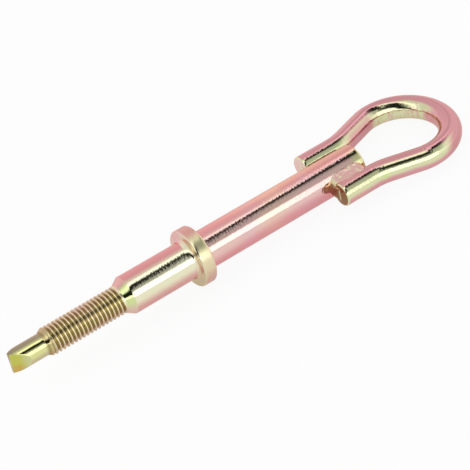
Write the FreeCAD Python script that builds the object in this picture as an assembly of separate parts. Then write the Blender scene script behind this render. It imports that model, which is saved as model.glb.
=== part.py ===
import FreeCAD, Part
import math
import os

# Screw-in towing eye: a turned shank with a collar, a thread and a chisel tip, and a bent rod loop
# that is welded along both sides of the shank's end.
# Millimetres. The origin is the centre of the collar's seat face, on the shank's axis. +X runs along
# the shank towards the loop, the loop lies in the XY plane, and +Z is up.

# Shank, turned from one bar
SHANK_D = 16.0
SPIGOT_L = 29.0        # plain length from the seat face to the cone
CONE_L = 3.3           # taper from the spigot down to the thread
REAR_L = 79.1          # plain length behind the collar
END_ROUND_R = 1.0      # rounding of the shank's end edge
COLLAR_D = 24.5
COLLAR_W = 5.6
COLLAR_EDGE_R = 0.8    # rounding of the rim's two edges
SEAT_ROOT_R = 1.5      # fillet between the spigot and the seat face
BACK_ROOT_R = 0.5      # fillet between the rear shank and the collar's back face

# Thread, right handed
THREAD_D = 11.8        # over the crests
THREAD_PITCH = 1.75
THREAD_L = 34.3        # from the lead-in cone to the shank's cone
THREAD_DEPTH = 1.0
THREAD_FLANK = 30.0    # degrees between a flank and the plane across the axis
THREAD_ROOT_W = 0.35   # flat at the bottom of the groove
THREAD_NECK_L = 1.0    # plain length left between the last turn and the cone
LEAD_L = 2.2           # lead-in cone from the pilot up to the crests

# Pilot and chisel tip
PILOT_D = 9.2
PILOT_L = 12.6         # from the lead-in cone to the tip
TIP_T = 1.5            # thickness of the blade's end
TIP_L = 7.1            # length of the two flats

# Loop, bent from one rod
ROD_D = 10.0
EYE_D = 30.0           # inside diameter of the eye
LEG_LAP = 18.3         # length of each leg that lies along the shank
LEG_STRAIGHT_L = 15.7  # straight part of each leg
BEND_R = 28.6          # centre line of the outward bend
FLARE_ANGLE = 18.4     # degrees that each leg turns outward
LEG_CHAMFER = 0.8

# Welds, one on each side, filling the valleys above and below
WELD_GAP = 0.4         # gap between the shank and each leg, filled by the weld
WELD_R = 4.2           # bead radius about the line where shank and leg are closest
WELD_WRAP = 0.6        # reach of the bead past the leg's end
WELD_SETBACK = 0.3     # distance of the bead from the rounding of the shank's end

# Room given to cutting tools past the faces that they cut
CUT_MARGIN = 1.0
CREST_MARGIN = 0.1

Vector = FreeCAD.Vector
ORIGIN = Vector(0, 0, 0)
X_AXIS = Vector(1, 0, 0)
Y_AXIS = Vector(0, 1, 0)
Z_AXIS = Vector(0, 0, 1)

SHANK_R = SHANK_D / 2
COLLAR_R = COLLAR_D / 2
THREAD_R = THREAD_D / 2
ROOT_R = THREAD_R - THREAD_DEPTH
PILOT_R = PILOT_D / 2
ROD_R = ROD_D / 2

X_CONE = -SPIGOT_L
X_THREAD_END = X_CONE - CONE_L
X_THREAD = X_THREAD_END - THREAD_L
X_LEAD = X_THREAD - LEAD_L
X_TIP = X_LEAD - PILOT_L
X_END = COLLAR_W + REAR_L
X_LEG = X_END - LEG_LAP
X_BEND = X_LEG + LEG_STRAIGHT_L
LEG_Y = SHANK_R + WELD_GAP + ROD_R
LOOP_R = EYE_D / 2 + ROD_R


class Outline:
    """A closed outline of (x, radius) points that is turned about the shank's axis."""

    def __init__(self, x, radius):
        """Start the outline at one point."""
        self.first = Vector(x, radius, 0)
        self.last = self.first
        self.edges = []

    def line(self, x, radius):
        """Add a straight edge to the given point."""
        target = Vector(x, radius, 0)
        self.edges.append(Part.makeLine(self.last, target))
        self.last = target

    def round(self, x, radius, centre_x, centre_radius):
        """Add an arc to the given point about the given centre."""
        target = Vector(x, radius, 0)
        centre = Vector(centre_x, centre_radius, 0)
        arm = self.last - centre
        halfway = (arm + (target - centre)).normalize() * arm.Length
        self.edges.append(Part.Arc(self.last, centre + halfway, target).toShape())
        self.last = target

    def turned(self):
        """Close the outline and return the solid of revolution."""
        self.line(self.first.x, self.first.y)
        return Part.Face(Part.Wire(self.edges)).revolve(ORIGIN, X_AXIS, 360)


def turned_blank():
    """Return the shank before its thread and its chisel flats are cut."""
    outline = Outline(X_TIP, 0)
    outline.line(X_TIP, PILOT_R)
    outline.line(X_LEAD, PILOT_R)
    outline.line(X_THREAD, THREAD_R)
    outline.line(X_THREAD_END, THREAD_R)
    outline.line(X_CONE, SHANK_R)
    outline.line(-SEAT_ROOT_R, SHANK_R)
    outline.round(0, SHANK_R + SEAT_ROOT_R, -SEAT_ROOT_R, SHANK_R + SEAT_ROOT_R)
    outline.line(0, COLLAR_R - COLLAR_EDGE_R)
    outline.round(COLLAR_EDGE_R, COLLAR_R, COLLAR_EDGE_R, COLLAR_R - COLLAR_EDGE_R)
    back_edge_x = COLLAR_W - COLLAR_EDGE_R
    outline.line(back_edge_x, COLLAR_R)
    outline.round(COLLAR_W, COLLAR_R - COLLAR_EDGE_R, back_edge_x, COLLAR_R - COLLAR_EDGE_R)
    outline.line(COLLAR_W, SHANK_R + BACK_ROOT_R)
    back_root_x = COLLAR_W + BACK_ROOT_R
    outline.round(back_root_x, SHANK_R, back_root_x, SHANK_R + BACK_ROOT_R)
    end_round_x = X_END - END_ROUND_R
    outline.line(end_round_x, SHANK_R)
    outline.round(X_END, SHANK_R - END_ROUND_R, end_round_x, SHANK_R - END_ROUND_R)
    outline.line(X_END, 0)
    return outline.turned()


def groove_turn(outer_r, outer_half):
    """Return one turn of the thread's groove, starting at x = 0."""
    root_half = THREAD_ROOT_W / 2
    helix = Part.makeHelix(THREAD_PITCH, THREAD_PITCH, ROOT_R)
    section = Part.makePolygon([
        Vector(ROOT_R, 0, -root_half),
        Vector(outer_r, 0, -outer_half),
        Vector(outer_r, 0, outer_half),
        Vector(ROOT_R, 0, root_half),
        Vector(ROOT_R, 0, -root_half),
    ])
    sweep = Part.BRepOffsetAPI.MakePipeShell(Part.Wire(helix.Edges))
    sweep.setFrenetMode(True)
    sweep.add(section)
    sweep.build()
    sweep.makeSolid()
    turn = sweep.shape()
    turn.rotate(ORIGIN, Y_AXIS, 90)
    return turn


def thread_groove():
    """Return the helical groove in whole turns, from ahead of the lead-in cone to the neck."""
    outer_r = THREAD_R + CREST_MARGIN
    outer_half = THREAD_ROOT_W / 2 + (outer_r - ROOT_R) * math.tan(math.radians(THREAD_FLANK))
    start_x = X_LEAD - THREAD_PITCH / 2
    end_x = X_THREAD_END - THREAD_NECK_L - outer_half
    turn = groove_turn(outer_r, outer_half)
    places = [start_x + number * THREAD_PITCH for number in range(int((end_x - start_x) / THREAD_PITCH))]
    turns = [turn.translated(Vector(x, 0, 0)) for x in places]
    return turns[0].multiFuse(turns[1:])


def tip_cut(side):
    """Return the wedge that is cut away on one side (1 or -1) of the chisel tip."""
    half_t = TIP_T / 2
    slope = (PILOT_R - half_t) / TIP_L
    front_x = X_TIP - CUT_MARGIN
    back_x = X_TIP + TIP_L + CUT_MARGIN
    height = PILOT_R + CUT_MARGIN
    outer_y = side * (PILOT_R + slope * CUT_MARGIN)
    face = Part.Face(Part.makePolygon([
        Vector(front_x, side * (half_t - slope * CUT_MARGIN), -height),
        Vector(back_x, outer_y, -height),
        Vector(front_x, outer_y, -height),
        Vector(front_x, side * (half_t - slope * CUT_MARGIN), -height),
    ]))
    return face.extrude(Z_AXIS * (2 * height))


def make_shank():
    """Return the shank with its collar, thread and chisel tip, as one solid."""
    threaded = turned_blank().cut(thread_groove())
    return threaded.cut([tip_cut(1), tip_cut(-1)])


def half_path(side):
    """Return the corners of one leg's centre line, and its bend's middle, from leg end to eye."""
    flare = math.radians(FLARE_ANGLE)
    bend_centre = Vector(X_BEND, LEG_Y + BEND_R, 0)
    bend_middle = bend_centre + Vector(math.sin(flare / 2), -math.cos(flare / 2), 0) * BEND_R
    bend_end = bend_centre + Vector(math.sin(flare), -math.cos(flare), 0) * BEND_R
    run = (LOOP_R * math.cos(flare) - bend_end.y) / math.sin(flare)
    run_end = bend_end + Vector(math.cos(flare), math.sin(flare), 0) * run
    points = [Vector(X_LEG, LEG_Y, 0), Vector(X_BEND, LEG_Y, 0), bend_middle, bend_end, run_end]
    return [Vector(point.x, side * point.y, 0) for point in points]


def make_loop():
    """Return the bent rod loop: two legs, their outward bends and the round eye."""
    flare = math.radians(FLARE_ANGLE)
    leg, bend, middle, bend_end, run_end = half_path(-1)
    far_leg, far_bend, far_middle, far_bend_end, far_run_end = half_path(1)
    eye_x = run_end.x + LOOP_R * math.sin(flare)
    path = Part.Wire([
        Part.makeLine(leg, bend),
        Part.Arc(bend, middle, bend_end).toShape(),
        Part.makeLine(bend_end, run_end),
        Part.Arc(run_end, Vector(eye_x + LOOP_R, 0, 0), far_run_end).toShape(),
        Part.makeLine(far_run_end, far_bend_end),
        Part.Arc(far_bend_end, far_middle, far_bend).toShape(),
        Part.makeLine(far_bend, far_leg),
    ])
    section = Part.Wire(Part.makeCircle(ROD_R, leg, X_AXIS))
    rod = path.makePipeShell([section], True, True)
    end_edges = [edge for edge in rod.Edges if abs(edge.BoundBox.XMax - X_LEG) < LEG_CHAMFER / 10]
    return rod.makeChamfer(LEG_CHAMFER, end_edges)


def make_weld(side, loop):
    """Return the weld on one side (1 or -1), cut to the faces of the shank and the leg."""
    line_y = side * (SHANK_R + WELD_GAP / 2)
    start = Vector(X_LEG - WELD_WRAP + WELD_R, line_y, 0)
    end = Vector(X_END - END_ROUND_R - WELD_SETBACK - WELD_R, line_y, 0)
    bar = Part.makeCylinder(WELD_R, (end - start).Length, start, X_AXIS)
    bead = bar.fuse([Part.makeSphere(WELD_R, start), Part.makeSphere(WELD_R, end)])
    core = Part.makeCylinder(SHANK_R, REAR_L, Vector(COLLAR_W, 0, 0), X_AXIS)
    return bead.removeSplitter().cut([core, loop])


def main():
    """Build each piece and write it to its own file."""
    loop = make_loop()
    pieces = {
        "shank": make_shank(),
        "eye_loop": loop,
        "near_weld": make_weld(-1, loop),
        "far_weld": make_weld(1, loop),
    }
    os.makedirs("parts", exist_ok=True)
    for name, shape in pieces.items():
        shape.exportStep("parts/" + name + ".step")


main()
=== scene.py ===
"""Looks of a screw-in towing eye: a turned and threaded shank, a bent rod loop and two welds.

Everything is in metres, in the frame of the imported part: the origin is the centre of the collar's
seat face, +X runs along the shank towards the loop, and +Z is up.
"""

import logging
import math
from dataclasses import dataclass, field
from enum import Enum
from typing import Any

import bmesh
import bpy
from mathutils import Matrix, Vector, noise


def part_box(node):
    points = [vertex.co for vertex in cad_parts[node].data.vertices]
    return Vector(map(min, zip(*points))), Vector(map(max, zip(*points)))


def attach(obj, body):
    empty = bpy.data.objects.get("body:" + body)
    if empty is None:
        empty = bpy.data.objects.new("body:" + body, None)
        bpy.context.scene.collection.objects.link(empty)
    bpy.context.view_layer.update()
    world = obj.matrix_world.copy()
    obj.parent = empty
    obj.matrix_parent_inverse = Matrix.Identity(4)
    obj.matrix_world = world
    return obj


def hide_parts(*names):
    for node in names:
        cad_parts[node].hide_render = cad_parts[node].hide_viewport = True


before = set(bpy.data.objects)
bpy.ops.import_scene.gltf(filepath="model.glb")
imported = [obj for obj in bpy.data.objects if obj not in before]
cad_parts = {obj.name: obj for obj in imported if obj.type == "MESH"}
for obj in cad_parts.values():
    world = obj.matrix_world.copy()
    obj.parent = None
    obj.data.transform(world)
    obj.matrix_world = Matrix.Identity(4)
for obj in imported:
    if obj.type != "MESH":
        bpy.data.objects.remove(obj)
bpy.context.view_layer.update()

MM = 0.001
BODY = "root"
X_AXIS = Vector((1.0, 0.0, 0.0))
Z_AXIS = Vector((0.0, 0.0, 1.0))
ORIGIN = Vector((0.0, 0.0, 0.0))
MERGE_DISTANCE = 0.002 * MM
RING_STEP = 1.2 * MM
# Room that keeps the wrinkled rod within the box of its solid
SKIN_ROOM = 0.02 * MM
LOG = logging.getLogger("towing_eye")

Colour = tuple[float, float, float, float]
Corner = tuple[float, float, float]
Points = tuple[tuple[float, float], ...]
Shades = tuple[Any, Any, Any]
Edges = list[bmesh.types.BMEdge]


def clamp(value: float) -> float:
    """Return the value, kept between 0 and 1."""
    return max(0.0, min(1.0, value))


class Signal:
    """A shader socket that takes part in Python arithmetic."""

    def __init__(self, graph: "Graph", socket: bpy.types.NodeSocket) -> None:
        """Wrap one output socket of a graph."""
        self.graph = graph
        self.socket = socket

    def _math(self, operation: str, *values: Any) -> "Signal":
        """Return the result of a Math node on the given values."""
        return self.graph.add("ShaderNodeMath", {"operation": operation}, dict(enumerate(values)))

    def __add__(self, other: Any) -> "Signal":
        """Return self + other."""
        return self._math("ADD", self, other)

    def __radd__(self, other: Any) -> "Signal":
        """Return other + self."""
        return self._math("ADD", other, self)

    def __sub__(self, other: Any) -> "Signal":
        """Return self - other."""
        return self._math("SUBTRACT", self, other)

    def __rsub__(self, other: Any) -> "Signal":
        """Return other - self."""
        return self._math("SUBTRACT", other, self)

    def __mul__(self, other: Any) -> "Signal":
        """Return self * other."""
        return self._math("MULTIPLY", self, other)

    def __rmul__(self, other: Any) -> "Signal":
        """Return other * self."""
        return self._math("MULTIPLY", other, self)

    def __truediv__(self, other: Any) -> "Signal":
        """Return self / other."""
        return self._math("DIVIDE", self, other)

    def __neg__(self) -> "Signal":
        """Return -self."""
        return self._math("MULTIPLY", self, -1.0)

    def __abs__(self) -> "Signal":
        """Return the absolute value."""
        return self._math("ABSOLUTE", self)

    def root(self) -> "Signal":
        """Return the square root."""
        return self._math("SQRT", self)

    def larger(self, other: Any) -> "Signal":
        """Return the larger of self and other."""
        return self._math("MAXIMUM", self, other)

    def turn(self, other: "Signal") -> "Signal":
        """Return the angle of the point (other, self)."""
        return self._math("ARCTAN2", self, other)

    def rise(self, low: float, high: float) -> "Signal":
        """Return a smooth step from 0 at low to 1 at high.

        Args:
            low: The value at which the step starts.
            high: The value at which the step is complete.

        Returns:
            The step, between 0 and 1.
        """
        settings = {"interpolation_type": "SMOOTHSTEP"}
        return self.graph.add("ShaderNodeMapRange", settings, {0: self, 1: low, 2: high, 3: 0.0, 4: 1.0})

    def between(self, low: float, high: float, soft: float) -> "Signal":
        """Return a soft window that is 1 between low and high.

        Args:
            low: The middle of the rising edge.
            high: The middle of the falling edge.
            soft: Half the width of each edge.

        Returns:
            The window, between 0 and 1.
        """
        return self.rise(low - soft, low + soft) * (1.0 - self.rise(high - soft, high + soft))


class Graph:
    """A node tree that is written as expressions."""

    def __init__(self, tree: bpy.types.NodeTree) -> None:
        """Keep the tree and drop its starting nodes."""
        self.tree = tree
        tree.nodes.clear()

    def add(self, kind: str, settings: dict[str, Any] | None = None,
            inputs: dict[Any, Any] | None = None, output: Any = 0) -> Signal:
        """Add a node.

        Args:
            kind: The node's type.
            settings: Values of the node's own properties, set first.
            inputs: Values or signals for its sockets, by number or name.
            output: The number or name of the socket to return.

        Returns:
            The node's output.
        """
        node = self.tree.nodes.new(kind)
        for name, value in (settings or {}).items():
            if name == "stops":
                self._set_stops(node.color_ramp, value)
            else:
                setattr(node, name, value)
        for key, value in (inputs or {}).items():
            if isinstance(value, Signal):
                self.tree.links.new(value.socket, node.inputs[key])
            else:
                node.inputs[key].default_value = value
        return Signal(self, node.outputs[output] if node.outputs else None)

    def _set_stops(self, ramp: bpy.types.ColorRamp, stops: list[tuple[float, float]]) -> None:
        """Give a ramp its grey stops.

        Args:
            ramp: The ramp, which has two stops at first.
            stops: Pairs of a position and the grey level there.
        """
        while len(ramp.elements) < len(stops):
            ramp.elements.new(0.5)
        for element, (position, level) in zip(ramp.elements, stops):
            element.position = position
            element.color = (level, level, level, 1.0)

    def trace(self, value: Signal, points: Points) -> Signal:
        """Return a level that runs straight from point to point.

        Args:
            value: The signal that the level follows.
            points: Pairs of a value and the level there, in rising order.

        Returns:
            The level.
        """
        first = points[0][0]
        span = points[-1][0] - first
        peak = max(level for _, level in points)
        stops = [((at - first) / span, level / peak) for at, level in points]
        return self.add("ShaderNodeValToRGB", {"stops": stops}, {0: (value - first) / span}) * peak

    def dot(self, vector: Signal, way: tuple[float, float, float]) -> Signal:
        """Return how far a vector reaches along a direction."""
        return self.add("ShaderNodeVectorMath", {"operation": "DOT_PRODUCT"}, {0: vector, 1: way}, "Value")

    def mix(self, factor: Any, first: Any, second: Any) -> Signal:
        """Return a colour between two colours."""
        return self.add("ShaderNodeMix", {"data_type": "RGBA"}, {0: factor, 6: first, 7: second}, 2)

    def split(self, vector: Signal) -> tuple[Signal, Signal, Signal]:
        """Return the three parts of a vector."""
        node = self.add("ShaderNodeSeparateXYZ", {}, {0: vector}).socket.node
        return tuple(Signal(self, socket) for socket in node.outputs)

    def join(self, x: Any, y: Any, z: Any) -> Signal:
        """Return a vector of three values."""
        return self.add("ShaderNodeCombineXYZ", {}, {0: x, 1: y, 2: z})

    def noise(self, place: Signal, scale: float, detail: float = 2.0) -> Signal:
        """Return smooth noise around 0.5.

        Args:
            place: The point that the noise is read at.
            scale: Features per unit of the point.
            detail: Octaves of finer noise.

        Returns:
            The noise value.
        """
        return self.add("ShaderNodeTexNoise", {}, {"Vector": place, "Scale": scale, "Detail": detail})


class Region(Enum):
    """The part of the object that a finish is made for."""

    SHANK = "shank"
    ROD = "rod"
    WELD = "weld"


@dataclass(frozen=True)
class SheenFilm:
    """The plating's own colour where it faces a fixed view, and the painted sheen towards its upper and
    lower edges as seen from there.
    """

    face: Colour
    upper: Colour
    lower: Colour


@dataclass(frozen=True)
class PlatedFinish:
    """Bright zinc plating under a yellow passivation film, with its pink and green sheen painted into the
    colour by the way the surface faces.
    """

    region: Region
    roughness: float
    mark_depth: float
    grain_depth: float
    cut_x: float
    film_tint: Colour = (0.985, 0.94, 0.94, 1.0)
    film_index: float = 1.08
    film_roughness: float = 0.2
    rim_tint: Colour = (1.0, 0.86, 0.82, 1.0)
    patch_roughness: float = 0.05
    thread_roughness: float = 0.16
    collar_roughness: float = 0.22
    # Features per metre in the turning marks along and round the shank, in other marks and in patches
    turning_scale: float = 1150.0
    round_scale: float = 600.0
    mark_scale: float = 800.0
    grain_scale: float = 2600.0
    lilac_scale: float = 55.0
    amber_scale: float = 38.0
    spot_scale: float = 130.0
    wander_scale: float = 90.0
    fold_sheen_scale: float = 420.0
    fold_sheen_length_scale: float = 40.0
    fleck_scale: float = 620.0
    # Directions across the shank and the loop along which the painted sheen changes the film's colour, and
    # the fixed view that the loop's face colour faces
    sheen_way: tuple[float, float, float] = (0.0, 0.661, 0.751)
    rod_sheen_way: tuple[float, float, float] = (0.294, 0.535, 0.792)
    rod_sheen_view: tuple[float, float, float] = (-0.381, -0.694, 0.611)
    pilot: SheenFilm = SheenFilm((0.80, 0.84, 0.38, 1.0), (0.34, 0.30, 0.19, 1.0), (0.64, 0.62, 0.36, 1.0))
    # Painted shade for the thread's roots, plain flanks, and a painted highlight for its crests
    shaded_thread: SheenFilm = SheenFilm((0.34, 0.29, 0.10, 1.0), (0.30, 0.20, 0.07, 1.0), (0.32, 0.22, 0.08, 1.0))
    flank: SheenFilm = SheenFilm((0.60, 0.56, 0.27, 1.0), (0.52, 0.42, 0.22, 1.0), (0.54, 0.45, 0.24, 1.0))
    crest_highlight: SheenFilm = SheenFilm((0.95, 0.90, 0.66, 1.0), (0.84, 0.71, 0.54, 1.0), (0.72, 0.60, 0.44, 1.0))
    spigot: SheenFilm = SheenFilm((0.90, 0.92, 0.66, 1.0), (0.76, 0.34, 0.34, 1.0), (0.80, 0.46, 0.43, 1.0))
    cone: SheenFilm = SheenFilm((0.70, 0.84, 0.38, 1.0), (0.80, 0.46, 0.44, 1.0), (0.84, 0.66, 0.56, 1.0))
    seat: SheenFilm = SheenFilm((0.83, 0.80, 0.58, 1.0), (0.86, 0.58, 0.56, 1.0), (0.72, 0.73, 0.45, 1.0))
    collar: SheenFilm = SheenFilm((0.84, 0.83, 0.49, 1.0), (0.72, 0.40, 0.35, 1.0), (0.74, 0.52, 0.42, 1.0))
    rear: SheenFilm = SheenFilm((0.88, 0.64, 0.57, 1.0), (0.79, 0.36, 0.36, 1.0), (0.84, 0.41, 0.43, 1.0))
    # A painted reflection: yellow-green on the shank near its end
    end_reflection: SheenFilm = SheenFilm((0.76, 0.80, 0.42, 1.0), (0.79, 0.36, 0.36, 1.0), (0.84, 0.41, 0.43, 1.0))
    rod: SheenFilm = SheenFilm((0.77, 0.83, 0.50, 1.0), (0.68, 0.34, 0.36, 1.0), (0.78, 0.42, 0.44, 1.0))
    amber: Colour = (0.90, 0.68, 0.44, 1.0)
    orange_sheen: Colour = (0.84, 0.48, 0.35, 1.0)
    lilac: Colour = (0.80, 0.50, 0.60, 1.0)
    green: Colour = (0.66, 0.86, 0.36, 1.0)
    reflected_shade_brown: Colour = (0.31, 0.18, 0.08, 1.0)
    lime: Colour = (0.58, 0.62, 0.12, 1.0)
    straw: Colour = (0.64, 0.48, 0.12, 1.0)
    pale: Colour = (0.66, 0.70, 0.36, 1.0)
    cream: Colour = (0.88, 0.70, 0.62, 1.0)

    def material(self, name: str, sizes: "ShankSizes") -> bpy.types.Material:
        """Build the material.

        Args:
            name: The material's name.
            sizes: The shank's sizes, which place the zones along it.

        Returns:
            The finished material.
        """
        made = bpy.data.materials.new(name)
        made.use_nodes = True
        graph = Graph(made.node_tree)
        place = graph.add("ShaderNodeTexCoord", {}, {}, "Object")
        x, y, z = graph.split(place)
        if self.region is Region.SHANK:
            colour = self._shank_colour(graph, place, sizes)
            cut = graph.join(x * self.turning_scale, y * self.round_scale, z * self.round_scale)
            marks = graph.noise(cut, 1.0)
        else:
            colour = self._rod_colour(graph, place)
            marks = graph.noise(place, self.mark_scale)
        patches = graph.noise(place, self.lilac_scale)
        on_thread = x.between(sizes.thread_x, sizes.thread_end_x, 0.5 * MM)
        on_collar = x.between(-1.6 * MM, sizes.collar_width, 0.4 * MM)
        lengthwise, _, _ = graph.split(graph.add("ShaderNodeTexCoord", {}, {}, "Normal"))
        flat = 1.0 - abs(lengthwise).between(0.15, 0.92, 0.05)
        roughness = self.roughness + patches * self.patch_roughness + on_thread * self.thread_roughness
        colour = graph.mix(patches.rise(0.55, 0.78) * 0.3, colour, self.lilac)
        warm = graph.noise(place, self.amber_scale).rise(0.56, 0.8) * 0.25
        colour = graph.mix(warm, colour, self.amber)
        grain = graph.noise(place, self.grain_scale)
        height = marks * self.mark_depth + grain * self.grain_depth
        bump = graph.add("ShaderNodeBump", {}, {"Strength": 1.0, "Distance": 1.0, "Height": height})
        shader = graph.add("ShaderNodeBsdfPrincipled", {}, {
            "Base Color": colour,
            "Metallic": 1.0,
            "Roughness": roughness + on_collar * flat * self.collar_roughness,
            "Normal": bump,
            "Specular Tint": self.rim_tint,
            "Coat Weight": 1.0,
            "Coat Roughness": self.film_roughness,
            "Coat IOR": self.film_index,
            "Coat Tint": self.film_tint,
        })
        graph.add("ShaderNodeOutputMaterial", {}, {"Surface": shader})
        return made

    def _shank_colour(self, graph: Graph, place: Signal, sizes: "ShankSizes") -> Signal:
        """Colour the shank by its zones along X, with the film's sheen painted by its place round the
        shank.

        Args:
            graph: The material's nodes.
            place: The point on the shank.
            sizes: The shank's sizes, which place the zones.

        Returns:
            The colour.
        """
        x, y, z = graph.split(place)
        radius = (y * y + z * z).root().larger(MERGE_DISTANCE)
        # across measures the place round the shank as seen from a fixed view; upper and lower paint the
        # sheen towards its edges
        across = graph.dot(place, self.sheen_way) / radius
        on_seat = x.between(-1.8 * MM, 0.3 * MM, 0.3 * MM)
        upper = (across - on_seat * 0.3).rise(0.38, 0.72)
        on_rear = x.rise(sizes.collar_width, sizes.collar_width + 35.0 * MM)
        lower = (on_rear * 0.14 - across).rise(0.48, 0.90)
        # Painted shade darkens the thread's roots and a painted highlight lightens its crests
        crest_highlight = radius.rise(sizes.thread_radius - 0.45 * MM, sizes.thread_radius - 0.1 * MM)
        valley = radius.rise(sizes.thread_radius - sizes.thread_depth, sizes.thread_radius - 0.5 * MM)
        shaded_thread = self._blend(graph, valley, self._parts(self.shaded_thread), self._parts(self.flank))
        started = x.rise(sizes.thread_x, sizes.thread_x + 1.6 * MM)
        shaded_thread = self._blend(graph, crest_highlight * started, shaded_thread, self._parts(self.crest_highlight))
        borders = (
            (sizes.lead_x, 1.0 * MM, shaded_thread),
            (sizes.thread_end_x, 0.3 * MM, self._parts(self.cone)),
            (sizes.cone_x, 0.4 * MM, self._parts(self.spigot)),
            (-0.8 * MM, 0.9 * MM, self._parts(self.seat)),
            (0.5 * MM, 0.4 * MM, self._parts(self.collar)),
            (sizes.collar_width, 0.4 * MM, self._parts(self.rear)),
            # Painted reflection of yellow-green near the shank's end
            (sizes.end_x - 4.5 * MM, 2.5 * MM, self._parts(self.end_reflection)),
        )
        parts = self._parts(self.pilot)
        for border, soft, film in borders:
            parts = self._blend(graph, x.rise(border - soft, border + soft), parts, film)
        colour = graph.mix(upper, parts[0], parts[1])
        colour = graph.mix(lower, colour, parts[2])
        ahead = -graph.split(graph.add("ShaderNodeTexCoord", {}, {}, "Normal"))[0]
        along = x - sizes.tip_x
        # Straw instead of lime low on the tip's flats, near the point
        low_on_tip = (-z).rise(0.2 * MM, 2.0 * MM) * (1.0 - along.rise(2.5 * MM, 5.5 * MM))
        flat = graph.mix(along.rise(2.5 * MM, 6.5 * MM), graph.mix(low_on_tip, self.lime, self.straw), self.pale)
        on_flat = ahead.between(0.36, 0.62, 0.06) * (1.0 - x.rise(sizes.lead_x - 3.0 * MM, sizes.lead_x))
        colour = graph.mix(on_flat, colour, flat)
        # Painted orange sheen along the top edge of the rear shank
        colour = graph.mix(across.rise(0.62, 0.90) * on_rear * 0.8, colour, self.orange_sheen)
        end_face = (-ahead).rise(0.75, 0.95) * x.rise(sizes.end_x - 0.8 * sizes.end_round, sizes.end_x)
        return graph.mix(end_face, colour, self.cream)

    def _parts(self, film: SheenFilm) -> Shades:
        """Return a film's three colours."""
        return film.face, film.upper, film.lower

    def _blend(self, graph: Graph, factor: Signal, first: Shades, second: Shades) -> Shades:
        """Return the three colours between those of two films."""
        return tuple(graph.mix(factor, old, new) for old, new in zip(first, second))

    def _rod_colour(self, graph: Graph, place: Signal) -> Signal:
        """Colour the rod and the welds, painting the film's sheen by the way that their surface faces.

        Args:
            graph: The material's nodes.
            place: The point on the piece.

        Returns:
            The colour.
        """
        normal = graph.add("ShaderNodeTexCoord", {}, {}, "Normal")
        wander = (graph.noise(place, self.wander_scale) - 0.5) * 0.2
        # rising and facing place the painted sheen: pink towards the upper edges and where the surface
        # turns away from a fixed view
        rising = graph.dot(normal, self.rod_sheen_way) + wander
        facing = abs(graph.dot(normal, self.rod_sheen_view)) + wander
        x, y, z = graph.split(place)
        onward, sideways, _ = graph.split(normal)
        upper = rising.rise(0.36, 0.62).larger(onward.rise(0.08, 0.34))
        lower = (-rising).rise(0.45, 0.75).larger(1.0 - facing.rise(0.58, 0.84))
        inside = (-sideways).rise(-0.05, 0.25) * y.rise(0.0, 5.0 * MM) * x.rise(98.0 * MM, 106.0 * MM)
        spots = graph.noise(place, self.spot_scale, 3.0).rise(0.55, 0.68) * 0.6
        face = graph.mix(spots, self.rod.face, self.green)
        # Painted sheen: pink stripes that follow the wrinkles on the eye's inner wall
        drawn = graph.join(x * self.fold_sheen_scale, y * self.fold_sheen_scale, z * self.fold_sheen_length_scale)
        wavy = graph.noise(drawn, 1.0, 1.0) - 0.5
        folds = (1.0 - abs(wavy).rise(0.0, 0.05)) * 0.6
        colour = graph.mix((lower * (1.0 - inside)).larger(inside * folds), face, self.rod.lower)
        # Painted sheen on the loop's upper edges turns orange where the far side faces back towards the
        # shank
        warm = (-onward).rise(0.05, 0.40) * y.rise(10.0 * MM, 20.0 * MM) * 0.7
        colour = graph.mix(upper, colour, graph.mix(warm, self.rod.upper, self.orange_sheen))
        if self.region is Region.WELD:
            flecks = graph.noise(place, self.fleck_scale).rise(0.52, 0.66)
            colour = graph.mix(flecks * 0.5 + 0.35, colour, graph.mix(flecks, self.cream, self.rod.face))
        # Painted reflections on the legs' end faces: brown shade on the near leg's, cream on the far leg's
        at_end = 1.0 - x.rise(self.cut_x + 0.9 * MM, self.cut_x + 1.3 * MM)
        reflected_discs = graph.mix(y.rise(-1.0 * MM, 1.0 * MM), self.reflected_shade_brown, self.cream)
        colour = graph.mix((-onward).rise(0.25, 0.45) * at_end, colour, self.rod.face)
        return graph.mix((-onward).rise(0.88, 0.97) * at_end, colour, reflected_discs)


@dataclass
class ShankSizes:
    """Sizes of the shank. The ends and the collar's radius come from the frame."""

    tip_x: float
    end_x: float
    collar_radius: float
    radius: float = 8.0 * MM
    spigot_length: float = 29.0 * MM
    cone_length: float = 3.3 * MM
    collar_width: float = 5.6 * MM
    collar_edge: float = 0.8 * MM
    seat_root: float = 1.5 * MM
    back_root: float = 0.5 * MM
    end_round: float = 1.0 * MM
    cone_round: float = 0.35 * MM
    thread_radius: float = 5.9 * MM
    thread_depth: float = 1.0 * MM
    thread_pitch: float = 1.75 * MM
    thread_length: float = 32.7 * MM
    thread_round: float = 0.1 * MM
    crest_width: float = 0.25 * MM
    root_width: float = 0.35 * MM
    run_out: float = 0.7 * MM
    run_in: float = 1.6 * MM
    lead_length: float = 2.2 * MM
    pilot_radius: float = 4.6 * MM
    tip_thickness: float = 1.5 * MM
    tip_length: float = 7.1 * MM
    tip_round: float = 0.2 * MM

    @property
    def cone_x(self) -> float:
        """Where the spigot meets the cone."""
        return -self.spigot_length

    @property
    def thread_end_x(self) -> float:
        """Where the cone meets the thread."""
        return self.cone_x - self.cone_length

    @property
    def thread_x(self) -> float:
        """Where the lead-in cone reaches the thread's crests."""
        return self.thread_end_x - self.thread_length

    @property
    def lead_x(self) -> float:
        """Where the pilot meets the lead-in cone."""
        return self.thread_x - self.lead_length


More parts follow.
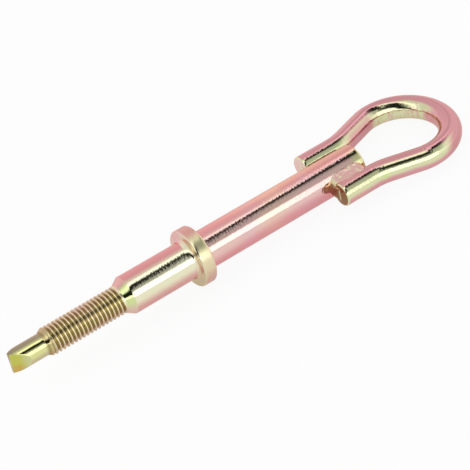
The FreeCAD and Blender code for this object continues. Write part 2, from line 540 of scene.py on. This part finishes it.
def wire(bm: bmesh.types.BMesh, corners: list[Corner], segments: int = 6) -> None:
    """Draw an outline of (x, radius, rounding) corners above the shank's axis.

    Args:
        bm: The mesh that takes the outline.
        corners: The outline's corners in order, each with the rounding it gets.
        segments: Steps in each rounding.
    """
    verts = [bm.verts.new((x, 0.0, radius)) for x, radius, _ in corners]
    for first, second in zip(verts, verts[1:]):
        bm.edges.new((first, second))
    for vert, (_, _, rounding) in zip(verts, corners):
        if rounding > 0.0:
            bmesh.ops.bevel(bm, geom=[vert], offset=rounding, offset_type="OFFSET", segments=segments,
                            profile=0.5, affect="VERTICES", material=-1)
    for edge in [edge for edge in bm.edges if edge.calc_length() > 2.0 * RING_STEP]:
        bmesh.ops.subdivide_edges(bm, edges=[edge], cuts=int(edge.calc_length() / RING_STEP))


def finished(bm: bmesh.types.BMesh, name: str, sharp_angle: float) -> bpy.types.Object:
    """Turn a mesh into a smooth-shaded object at the origin.

    Args:
        bm: The mesh, which is freed.
        name: The object's name.
        sharp_angle: Edges that turn by more than this stay crisp, in degrees.

    Returns:
        The new object.
    """
    bmesh.ops.recalc_face_normals(bm, faces=bm.faces[:])
    mesh = bpy.data.meshes.new(name)
    bm.to_mesh(mesh)
    bm.free()
    mesh.shade_smooth()
    mesh.set_sharp_from_angle(angle=math.radians(sharp_angle))
    made = bpy.data.objects.new(name, mesh)
    bpy.context.scene.collection.objects.link(made)
    return made


def dress(piece: bpy.types.Object, node: str, material: bpy.types.Material) -> None:
    """Give a piece its material and its place in the frame.

    Args:
        piece: The new piece.
        node: The solid that it stands for.
        material: The piece's finish.
    """
    piece.data.materials.append(material)
    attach(piece, BODY)
    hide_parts(node)
    LOG.info("%s: %d faces for %s", piece.name, len(piece.data.polygons), node)


@dataclass
class Shank:
    """The turned shank with its collar, thread and chisel tip."""

    sizes: ShankSizes
    finish: PlatedFinish
    steps: int = 128
    # The band starts this many turns ahead of the lead-in, and stops short of the turned parts
    turns_ahead: float = 1.5
    ring_gap: float = 0.25 * MM

    def build(self) -> bpy.types.Object:
        """Build the shank as one closed mesh and dress it.

        Returns:
            The dressed shank.
        """
        sizes = self.sizes
        band_start = sizes.lead_x - self.turns_ahead * sizes.thread_pitch
        front = self._turned([
            (sizes.tip_x, sizes.pilot_radius, 0.0),
            (band_start - self.ring_gap, sizes.pilot_radius, 0.0),
        ])
        rear = self._turned([
            (sizes.thread_end_x, sizes.thread_radius, 0.0),
            (sizes.cone_x, sizes.radius, sizes.cone_round),
            (0.0, sizes.radius, sizes.seat_root),
            (0.0, sizes.collar_radius, sizes.collar_edge),
            (sizes.collar_width, sizes.collar_radius, sizes.collar_edge),
            (sizes.collar_width, sizes.radius, sizes.back_root),
            (sizes.end_x, sizes.radius, sizes.end_round),
            (sizes.end_x, sizes.radius / 2, 0.0),
        ])
        bm = self._thread_band(band_start, sizes.thread_end_x - self.ring_gap)
        front_loop, rear_loop = self._open_loops(bm)
        for part, loop, at_front in ((front, front_loop, False), (rear, rear_loop, True)):
            ring = self._join(bm, part, at_front)
            bmesh.ops.bridge_loops(bm, edges=loop + ring)
        open_edges = [edge for edge in bm.edges if edge.is_boundary]
        bmesh.ops.holes_fill(bm, edges=open_edges)
        bmesh.ops.remove_doubles(bm, verts=bm.verts[:], dist=MERGE_DISTANCE)
        bmesh.ops.recalc_face_normals(bm, faces=bm.faces[:])
        self._cut_tip(bm)
        piece = finished(bm, "threaded_shank", 32.0)
        dress(piece, "shank", self.finish.material("plated_shank", sizes))
        return piece

    def _turned(self, corners: list[Corner]) -> bmesh.types.BMesh:
        """Turn an outline about the shank's axis.

        Args:
            corners: The outline's (x, radius, rounding) corners.

        Returns:
            The turned skin, open at both ends.
        """
        bm = bmesh.new()
        wire(bm, corners)
        bmesh.ops.spin(bm, geom=bm.verts[:] + bm.edges[:], cent=ORIGIN, axis=X_AXIS,
                       angle=math.tau, steps=self.steps, use_merge=True)
        bmesh.ops.remove_doubles(bm, verts=bm.verts[:], dist=MERGE_DISTANCE)
        return bm

    def _thread_band(self, start: float, end: float) -> bmesh.types.BMesh:
        """Sweep one pitch of the thread along its helix and clip it by the lead-in and the run-out.

        Args:
            start: Where the first turn begins, on the pilot.
            end: Where the last turn ends, at the cone.

        Returns:
            The band, open at both ends.
        """
        sizes = self.sizes
        root_radius = sizes.thread_radius - sizes.thread_depth
        flank = (sizes.thread_pitch - sizes.crest_width - sizes.root_width) / 2
        half_crest = sizes.crest_width / 2
        root_start = half_crest + flank
        bm = bmesh.new()
        wire(bm, [
            (start, sizes.thread_radius, 0.0),
            (start + half_crest, sizes.thread_radius, sizes.thread_round),
            (start + root_start, root_radius, sizes.thread_round),
            (start + root_start + sizes.root_width, root_radius, sizes.thread_round),
            (start + sizes.thread_pitch - half_crest, sizes.thread_radius, sizes.thread_round),
            (start + sizes.thread_pitch, sizes.thread_radius, 0.0),
        ], segments=3)
        bmesh.ops.spin(bm, geom=bm.verts[:] + bm.edges[:], cent=ORIGIN, axis=X_AXIS,
                       dvec=X_AXIS * (sizes.thread_pitch / self.steps), angle=math.tau, steps=self.steps)
        turn = bm.verts[:] + bm.edges[:] + bm.faces[:]
        for number in range(1, math.ceil((end - start) / sizes.thread_pitch)):
            copy = bmesh.ops.duplicate(bm, geom=turn)["geom"]
            verts = [item for item in copy if isinstance(item, bmesh.types.BMVert)]
            bmesh.ops.translate(bm, verts=verts, vec=X_AXIS * (sizes.thread_pitch * number))
        bmesh.ops.remove_doubles(bm, verts=bm.verts[:], dist=MERGE_DISTANCE)
        for vert in bm.verts:
            vert.co.x = min(vert.co.x, end)
            radius = math.hypot(vert.co.y, vert.co.z)
            rise = (vert.co.x - sizes.lead_x) / sizes.lead_length
            blank = sizes.pilot_radius + (sizes.thread_radius - sizes.pilot_radius) * clamp(rise)
            fade_out = (vert.co.x - end + sizes.run_out) / sizes.run_out
            fade_in = (sizes.thread_x - vert.co.x) / sizes.run_in + 0.5
            faded = radius + (sizes.thread_radius - radius) * clamp(max(fade_out, fade_in))
            clipped = min(blank, faded)
            vert.co.y *= clipped / radius
            vert.co.z *= clipped / radius
        bmesh.ops.remove_doubles(bm, verts=bm.verts[:], dist=MERGE_DISTANCE)
        return bm

    def _open_loops(self, bm: bmesh.types.BMesh) -> tuple[Edges, Edges]:
        """Find the open edges of the thread's band.

        Args:
            bm: The band.

        Returns:
            The edges at its front and those at its rear.
        """
        open_edges = [edge for edge in bm.edges if edge.is_boundary]
        middle = (self.sizes.thread_x + self.sizes.thread_end_x) / 2
        front = [edge for edge in open_edges if edge.verts[0].co.x < middle]
        rear = [edge for edge in open_edges if edge.verts[0].co.x >= middle]
        return front, rear

    def _join(self, bm: bmesh.types.BMesh, part: bmesh.types.BMesh, at_front: bool) -> Edges:
        """Copy a turned part into the mesh.

        Args:
            bm: The mesh that takes the part.
            part: The turned part, which is freed.
            at_front: Whether the open ring that is wanted is the part's front one.

        Returns:
            The edges of that ring.
        """
        known = set(bm.edges)
        copy = bpy.data.meshes.new("turned_part")
        part.to_mesh(copy)
        part.free()
        bm.from_mesh(copy)
        bpy.data.meshes.remove(copy)
        rings = [edge for edge in bm.edges if edge not in known and edge.is_boundary]
        wanted = min if at_front else max
        place = wanted(edge.verts[0].co.x for edge in rings)
        return [edge for edge in rings if abs(edge.verts[0].co.x - place) < MERGE_DISTANCE]

    def _cut_tip(self, bm: bmesh.types.BMesh) -> None:
        """Cut the two flats of the chisel tip and soften their edges.

        Args:
            bm: The shank's closed mesh.
        """
        sizes = self.sizes
        half = sizes.tip_thickness / 2
        slope = (sizes.pilot_radius - half) / sizes.tip_length
        for side in (1.0, -1.0):
            cut = bmesh.ops.bisect_plane(bm, geom=bm.verts[:] + bm.edges[:] + bm.faces[:],
                                         plane_co=(sizes.tip_x, side * half, 0.0),
                                         plane_no=(-slope, side, 0.0), clear_outer=True)
            rim = [item for item in cut["geom_cut"] if isinstance(item, bmesh.types.BMEdge)]
            flat = bmesh.ops.edgeloop_fill(bm, edges=rim)["faces"]
            edges = list({edge for face in flat for edge in face.edges})
            bmesh.ops.bevel(bm, geom=edges, offset=sizes.tip_round, offset_type="OFFSET", segments=2,
                            profile=0.5, affect="EDGES", material=-1)


@dataclass
class LoopSizes:
    """Sizes of the rod loop. The leg's end, the rod's radius and the eye's end come from the frame."""

    leg_x: float
    rod_radius: float
    far_x: float
    leg_y: float = 13.4 * MM
    leg_straight: float = 15.7 * MM
    bend_radius: float = 28.6 * MM
    flare: float = math.radians(18.4)
    leg_chamfer: float = 0.8 * MM
    eye_inside: float = 15.0 * MM
    pressed_depth: float = 0.12 * MM
    wall_depth: float = 0.16 * MM
    wrinkle: float = 0.16 * MM
    # Angles round the eye, over which the pressing fades out at the legs and sets in at the far end
    press_fade: float = 0.35
    press_start: float = 0.35
    press_ramp: float = 0.4

    @property
    def eye_radius(self) -> float:
        """Radius of the eye's centre line."""
        return self.eye_inside + self.rod_radius

    @property
    def bend_x(self) -> float:
        """Where the straight leg ends."""
        return self.leg_x + self.leg_straight

    @property
    def eye_x(self) -> float:
        """Centre of the eye."""
        return self.far_x - self.rod_radius - self.eye_radius


@dataclass
class Loop:
    """The rod loop: two legs, their outward bends and the round eye."""

    sizes: LoopSizes
    shank: ShankSizes
    finish: PlatedFinish
    around: int = 96
    straight_steps: int = 12
    bend_steps: int = 14
    eye_steps: int = 160

    def build(self) -> bpy.types.Object:
        """Sweep the rod along its centre line, close its ends and dress it.

        Returns:
            The dressed loop.
        """
        sizes = self.sizes
        bm = bmesh.new()
        start = Matrix.Translation((sizes.leg_x, -sizes.leg_y, 0.0)) @ Matrix.Rotation(math.pi / 2, 4, "Y")
        bmesh.ops.create_circle(bm, segments=self.around, radius=sizes.rod_radius, matrix=start)
        ring = bm.edges[:]
        flare_end_y = sizes.leg_y + sizes.bend_radius * (1.0 - math.cos(sizes.flare))
        run = (sizes.eye_radius * math.cos(sizes.flare) - flare_end_y) / math.sin(sizes.flare)
        out = Vector((math.cos(sizes.flare), -math.sin(sizes.flare), 0.0))
        back = Vector((-out.x, out.y, 0.0))
        near_bend = Vector((sizes.bend_x, -sizes.leg_y - sizes.bend_radius, 0.0))
        far_bend = Vector((sizes.bend_x, sizes.leg_y + sizes.bend_radius, 0.0))
        eye = Vector((sizes.eye_x, 0.0, 0.0))
        ring = self._straight(bm, ring, X_AXIS * sizes.leg_straight)
        ring = self._bend(bm, ring, near_bend, -sizes.flare, self.bend_steps)
        ring = self._straight(bm, ring, out * run)
        ring = self._bend(bm, ring, eye, math.pi + 2.0 * sizes.flare, self.eye_steps)
        ring = self._straight(bm, ring, back * run)
        ring = self._bend(bm, ring, far_bend, -sizes.flare, self.bend_steps)
        self._straight(bm, ring, X_AXIS * -sizes.leg_straight)
        self._press(bm)
        self._close_ends(bm)
        piece = finished(bm, "rod_loop", 40.0)
        dress(piece, "eye_loop", self.finish.material("plated_rod", self.shank))
        return piece

    def _straight(self, bm: bmesh.types.BMesh, ring: Edges, way: Vector) -> Edges:
        """Extrude the last ring along a straight run.

        Args:
            bm: The rod's mesh.
            ring: The edges at the rod's open end.
            way: The run's length and direction.

        Returns:
            The edges at the new end.
        """
        for _ in range(self.straight_steps):
            grown = bmesh.ops.extrude_edge_only(bm, edges=ring)["geom"]
            verts = [item for item in grown if isinstance(item, bmesh.types.BMVert)]
            ring = [item for item in grown if isinstance(item, bmesh.types.BMEdge)]
            bmesh.ops.translate(bm, verts=verts, vec=way / self.straight_steps)
        return ring

    def _bend(self, bm: bmesh.types.BMesh, ring: Edges, centre: Vector, angle: float, count: int) -> Edges:
        """Spin the last ring round a bend's centre.

        Args:
            bm: The rod's mesh.
            ring: The edges at the rod's open end.
            centre: The bend's centre.
            angle: How far the rod turns, towards +Z as the axis.
            count: Steps in the bend.

        Returns:
            The edges at the new end.
        """
        verts = list({vert for edge in ring for vert in edge.verts})
        grown = bmesh.ops.spin(bm, geom=verts + ring, cent=centre, axis=Z_AXIS, angle=angle, steps=count)
        return [item for item in grown["geom_last"] if isinstance(item, bmesh.types.BMEdge)]

    def _press(self, bm: bmesh.types.BMesh) -> None:
        """Flatten and wrinkle the inside of the eye, as bending the rod round a mandrel does.

        Args:
            bm: The rod's mesh.
        """
        sizes = self.sizes
        for vert in bm.verts:
            arm = Vector((vert.co.x - sizes.eye_x, vert.co.y))
            turn = math.atan2(arm.y, arm.x)
            if abs(turn) > math.pi / 2 + sizes.flare:
                continue
            inward = sizes.eye_radius - arm.length
            scale = 1.0 - self._dent(turn, math.atan2(vert.co.z, inward)) / sizes.rod_radius
            arm *= (sizes.eye_radius - inward * scale) / arm.length
            vert.co = (sizes.eye_x + arm.x, arm.y, vert.co.z * scale)

    def _dent(self, turn: float, around: float) -> float:
        """Return how deep the rod's skin is pressed in.

        Args:
            turn: The angle round the eye, from the far end towards +Y.
            around: The angle round the rod, from the inside of the eye upwards.

        Returns:
            The depth below the round rod.
        """
        sizes = self.sizes
        fade = clamp((math.pi / 2 + sizes.flare - abs(turn)) / sizes.press_fade)
        upper_wave = 0.9 + 0.5 * noise.noise((turn * 5.0, around * 0.8, 4.0))
        upper_middle = 1.15 + 0.57 * (turn - math.pi / 2)
        set_in = clamp((turn - sizes.press_start) / sizes.press_ramp)
        upper = sizes.pressed_depth * fade * upper_wave * set_in
        wall_wave = 0.8 + 0.9 * noise.noise((turn * 7.0, around, 9.0))
        wall_middle = 0.1
        wall = sizes.wall_depth * fade * wall_wave
        fold_wave = noise.noise((turn * 14.0, around * 1.5, 2.0)) * math.exp(-(around / 0.6) ** 2)
        folds = sizes.wrinkle * fade * fold_wave
        pressed = self._flat(around - upper_middle, upper)
        return max(pressed, self._flat(around - wall_middle, wall) + folds, 0.0)

    def _flat(self, angle: float, depth: float) -> float:
        """Measure how deep a flat on the rod lies below the round rod.

        Args:
            angle: The angle round the rod, from the flat's middle.
            depth: The flat's depth at its middle.

        Returns:
            The depth at that angle, which is 0 beyond the flat's edges.
        """
        radius = self.sizes.rod_radius
        if abs(angle) > math.pi / 3 or depth <= 0.0:
            return 0.0
        return max(0.0, radius - (radius - depth) / math.cos(angle))

    def _close_ends(self, bm: bmesh.types.BMesh) -> None:
        """Close both legs and chamfer their ends.

        Args:
            bm: The rod's mesh.
        """
        open_edges = [edge for edge in bm.edges if edge.is_boundary]
        bmesh.ops.holes_fill(bm, edges=open_edges)
        bmesh.ops.recalc_face_normals(bm, faces=bm.faces[:])
        bmesh.ops.bevel(bm, geom=open_edges, offset=self.sizes.leg_chamfer, offset_type="OFFSET",
                        segments=3, profile=0.5, affect="EDGES", material=-1)


@dataclass
class Weld:
    """One weld bead, which fills the valleys above and below between the shank and one leg."""

    side: float
    node: str
    name: str
    shank: ShankSizes
    finish: PlatedFinish
    leg: LoopSizes
    drop: float = 0.0
    line_y: float = 9.7 * MM
    half_width: float = 5.6 * MM
    end_round: float = 4.2 * MM
    shank_edge: float = 6.0 * MM
    sag: float = 0.35 * MM
    sunk: float = 0.25
    lump: float = 0.26 * MM
    lump_size: float = 2.8 * MM
    fine_lump_size: float = 1.1 * MM
    fine_lump_share: float = 0.25
    lump_reach: float = 4.2 * MM
    # How the round bar is squared off at its sides and its top, and how full its ends are
    side_spread: float = 1.35
    top_spread: float = 1.3
    end_power: float = 0.7
    rings: int = 40

    def build(self) -> bpy.types.Object:
        """Build the bead as a lumpy bar with round ends and dress it.

        Returns:
            The dressed bead.
        """
        low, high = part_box(self.node)
        length = high.x - low.x - 2.0 * self.end_round
        bm = bmesh.new()
        bmesh.ops.create_uvsphere(bm, u_segments=64, v_segments=36, radius=self.end_round,
                                  matrix=Matrix.Rotation(math.pi / 2, 4, "Y"))
        behind = [vert for vert in bm.verts if vert.co.x > MERGE_DISTANCE]
        bmesh.ops.translate(bm, verts=behind, vec=X_AXIS * length)
        long_edges = [edge for edge in bm.edges if edge.calc_length() > length / 2]
        bmesh.ops.subdivide_edges(bm, edges=long_edges, cuts=self.rings, use_grid_fill=True)
        for vert in bm.verts:
            vert.co = self._shaped(vert.co)
        bmesh.ops.translate(bm, verts=bm.verts[:], vec=(low.x + self.end_round, 0.0, 0.0))
        piece = finished(bm, self.name, 60.0)
        dress(piece, self.node, self.finish.material(self.name + "_plating", self.shank))
        return piece

    def _shaped(self, point: Vector) -> Vector:
        """Move a point of a round bar to the bead's wide and lumpy section.

        Args:
            point: The point, with the bar's axis along X.

        Returns:
            The point's place on the bead.
        """
        reach = math.hypot(point.y, point.z)
        if reach < MERGE_DISTANCE:
            return Vector((point.x, self.side * self.line_y, 0.0))
        fill = (reach / self.end_round) ** self.end_power
        across = math.copysign(clamp(self.side_spread * abs(point.y) / reach), point.y)
        tall = math.copysign(clamp(self.top_spread * abs(point.z) / reach), point.z)
        y = self.line_y + self.half_width * fill * across
        fine = noise.noise(point / self.fine_lump_size)
        rough = noise.noise(point / self.lump_size) + self.fine_lump_share * fine
        middle = clamp(1.0 - ((y - self.line_y) / self.lump_reach) ** 2)
        height = self._height(y) + self.lump * rough * middle - self.drop
        return Vector((point.x, self.side * y, height * fill * tall))

    def _height(self, y: float) -> float:
        """Measure the fill, which runs from the shank's side to the top of the leg.

        Args:
            y: The distance from the shank's axis.

        Returns:
            The fill's height above the shank's axis.
        """
        rod = self.leg.rod_radius
        edge_z = math.sqrt(self.shank.radius ** 2 - self.shank_edge ** 2)
        reach = math.hypot(self.leg.leg_y - self.shank_edge, edge_z)
        dip = math.asin(edge_z / reach) - math.asin(rod / reach)
        leg_edge = self.leg.leg_y + rod * math.sin(dip)
        if y < self.shank_edge:
            return math.sqrt(self.shank.radius ** 2 - y ** 2) - self.sunk * (self.shank_edge - y)
        if y > leg_edge:
            return math.sqrt(max(0.0, rod ** 2 - (y - self.leg.leg_y) ** 2)) - self.sunk * (y - leg_edge)
        part = (y - self.shank_edge) / (leg_edge - self.shank_edge)
        return edge_z - math.tan(dip) * (y - self.shank_edge) - 4.0 * self.sag * part * (1.0 - part)


@dataclass
class Studio:
    """The camera, the floor and the light."""

    shank: ShankSizes
    azimuth: float = math.radians(-28.762)
    elevation: float = math.radians(37.649)
    roll: float = math.radians(-11.846)
    target: Vector = field(default_factory=lambda: Vector((21.95, -1.65, 0.0)) * MM)
    distance: float = 654.35 * MM
    lens: float = 127.19
    floor_reach: float = 3.0
    seen_glow: float = 0.92
    mirrored_glow: float = 0.48
    floor_white: Colour = (0.98, 0.98, 0.98, 1.0)
    white: Colour = (1.0, 1.0, 1.0, 1.0)
    front_level: float = 0.88
    # Height of the dark slot's middle in degrees, by the X part of the direction
    slot_path: Points = (
        (-1.0, 38.0), (-0.68, 39.0), (-0.30, 60.0), (0.25, 64.0), (0.334, 68.0), (0.382, 82.0),
        (0.414, 85.0), (0.456, 92.0), (0.55, 96.0), (1.0, 96.0),
    )
    # Light level by the degrees above the slot's middle
    slot_level: Points = (
        (-60.0, 0.60), (-23.0, 0.52), (-12.0, 0.25), (-7.5, 0.015), (6.0, 0.015), (9.0, 0.4),
        (13.0, 1.2), (18.0, 1.5), (22.0, 1.25), (31.0, 0.78), (60.0, 0.9), (110.0, 1.05),
    )

    def build(self) -> None:
        """Build the whole studio."""
        self._camera()
        self._floor()
        self._world()

    def _camera(self) -> None:
        """Place the camera at the photograph's viewing angle."""
        flat = math.cos(self.elevation)
        back = Vector((math.sin(self.azimuth) * flat, -math.cos(self.azimuth) * flat,
                       math.sin(self.elevation)))
        data = bpy.data.cameras.new("camera")
        data.lens = self.lens
        data.clip_start = 10.0 * MM
        camera = bpy.data.objects.new("camera", data)
        bpy.context.scene.collection.objects.link(camera)
        turned = (-back).to_track_quat("-Z", "Y").to_matrix().to_4x4()
        roll = Matrix.Rotation(self.roll, 4, "Z")
        camera.matrix_world = Matrix.Translation(self.target + back * self.distance) @ turned @ roll
        bpy.context.scene.camera = camera

    def _floor(self) -> None:
        """Lay a pale floor under the collar and the shank's end, which the object rests on."""
        shank = self.shank
        slope = (shank.collar_radius - shank.radius) / (shank.end_x - shank.end_round - shank.collar_width)
        bm = bmesh.new()
        bmesh.ops.create_grid(bm, x_segments=1, y_segments=1, size=self.floor_reach)
        for vert in bm.verts:
            vert.co.z = slope * (vert.co.x - shank.collar_width) - shank.collar_radius
        mesh = bpy.data.meshes.new("floor")
        bm.to_mesh(mesh)
        bm.free()
        floor = bpy.data.objects.new("floor", mesh)
        bpy.context.scene.collection.objects.link(floor)
        made = bpy.data.materials.new("white_floor")
        made.use_nodes = True
        graph = Graph(made.node_tree)
        shaded = graph.add("ShaderNodeBsdfDiffuse", {}, {"Color": self.floor_white})
        plain = graph.add("ShaderNodeEmission", {}, {"Color": self.white, "Strength": 1.0})
        camera_ray = graph.add("ShaderNodeLightPath", {}, {}, "Is Camera Ray")
        glossy_ray = graph.add("ShaderNodeLightPath", {}, {}, "Is Glossy Ray")
        glow = camera_ray * self.seen_glow + glossy_ray * self.mirrored_glow
        shader = graph.add("ShaderNodeMixShader", {}, {0: glow, 1: shaded, 2: plain})
        graph.add("ShaderNodeOutputMaterial", {}, {"Surface": shader})
        mesh.materials.append(made)

    def _world(self) -> None:
        """Light the object with a white tent that has a dark slot between two bright panels."""
        world = bpy.data.worlds.new("tent")
        world.use_nodes = True
        bpy.context.scene.world = world
        graph = Graph(world.node_tree)
        way = graph.add("ShaderNodeTexCoord", {}, {}, "Generated")
        x, y, z = graph.split(way)
        height = z.turn(-y) * math.degrees(1.0)
        middle = graph.trace(x, self.slot_path)
        narrow = 0.45 + 0.42 * x.rise(-0.6, -0.3) + 0.6 * x.between(0.368, 0.435, 0.02)
        slot = graph.trace((height - middle) * narrow, self.slot_level)
        slot = slot + (1.0 - slot) * x.rise(0.52, 0.72)
        top = 24.0 + 15.0 * x.rise(-0.6, -0.25) + 2.0 * x.rise(0.34, 0.38)
        bright = 1.75 - 0.65 * x.rise(0.42, 0.47)
        panel = height.rise(6.0, 12.0) * (1.0 - (height - top).rise(-5.0, 1.0))
        front = self.front_level + panel * (bright - self.front_level)
        level = front + (slot - front) * (height - top).rise(-4.0, 4.0)
        shader = graph.add("ShaderNodeBackground", {}, {"Color": self.white, "Strength": level})
        graph.add("ShaderNodeOutputWorld", {}, {"Surface": shader})


def main() -> None:
    """Build the towing eye and its studio."""
    logging.basicConfig(level=logging.INFO)
    bpy.context.scene.view_settings.view_transform = "Standard"
    shank_low, shank_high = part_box("shank")
    loop_low, loop_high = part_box("eye_loop")
    shank_sizes = ShankSizes(tip_x=shank_low.x, end_x=shank_high.x, collar_radius=shank_high.z)
    loop_sizes = LoopSizes(leg_x=loop_low.x, rod_radius=loop_high.z - SKIN_ROOM, far_x=loop_high.x)
    leg_x = loop_low.x
    turned = PlatedFinish(Region.SHANK, 0.05, mark_depth=0.034 * MM, grain_depth=0.0010 * MM, cut_x=leg_x)
    drawn = PlatedFinish(Region.ROD, 0.06, mark_depth=0.040 * MM, grain_depth=0.0010 * MM, cut_x=leg_x)
    welded = PlatedFinish(Region.WELD, 0.24, mark_depth=0.060 * MM, grain_depth=0.002 * MM, cut_x=leg_x)
    Shank(shank_sizes, turned).build()
    Loop(loop_sizes, shank_sizes, drawn).build()
    Weld(-1.0, "near_weld", "near_bead", shank_sizes, welded, loop_sizes).build()
    Weld(1.0, "far_weld", "far_bead", shank_sizes, welded, loop_sizes, drop=3.2 * MM).build()
    Studio(shank_sizes).build()


if __name__ == "__main__":
    main()
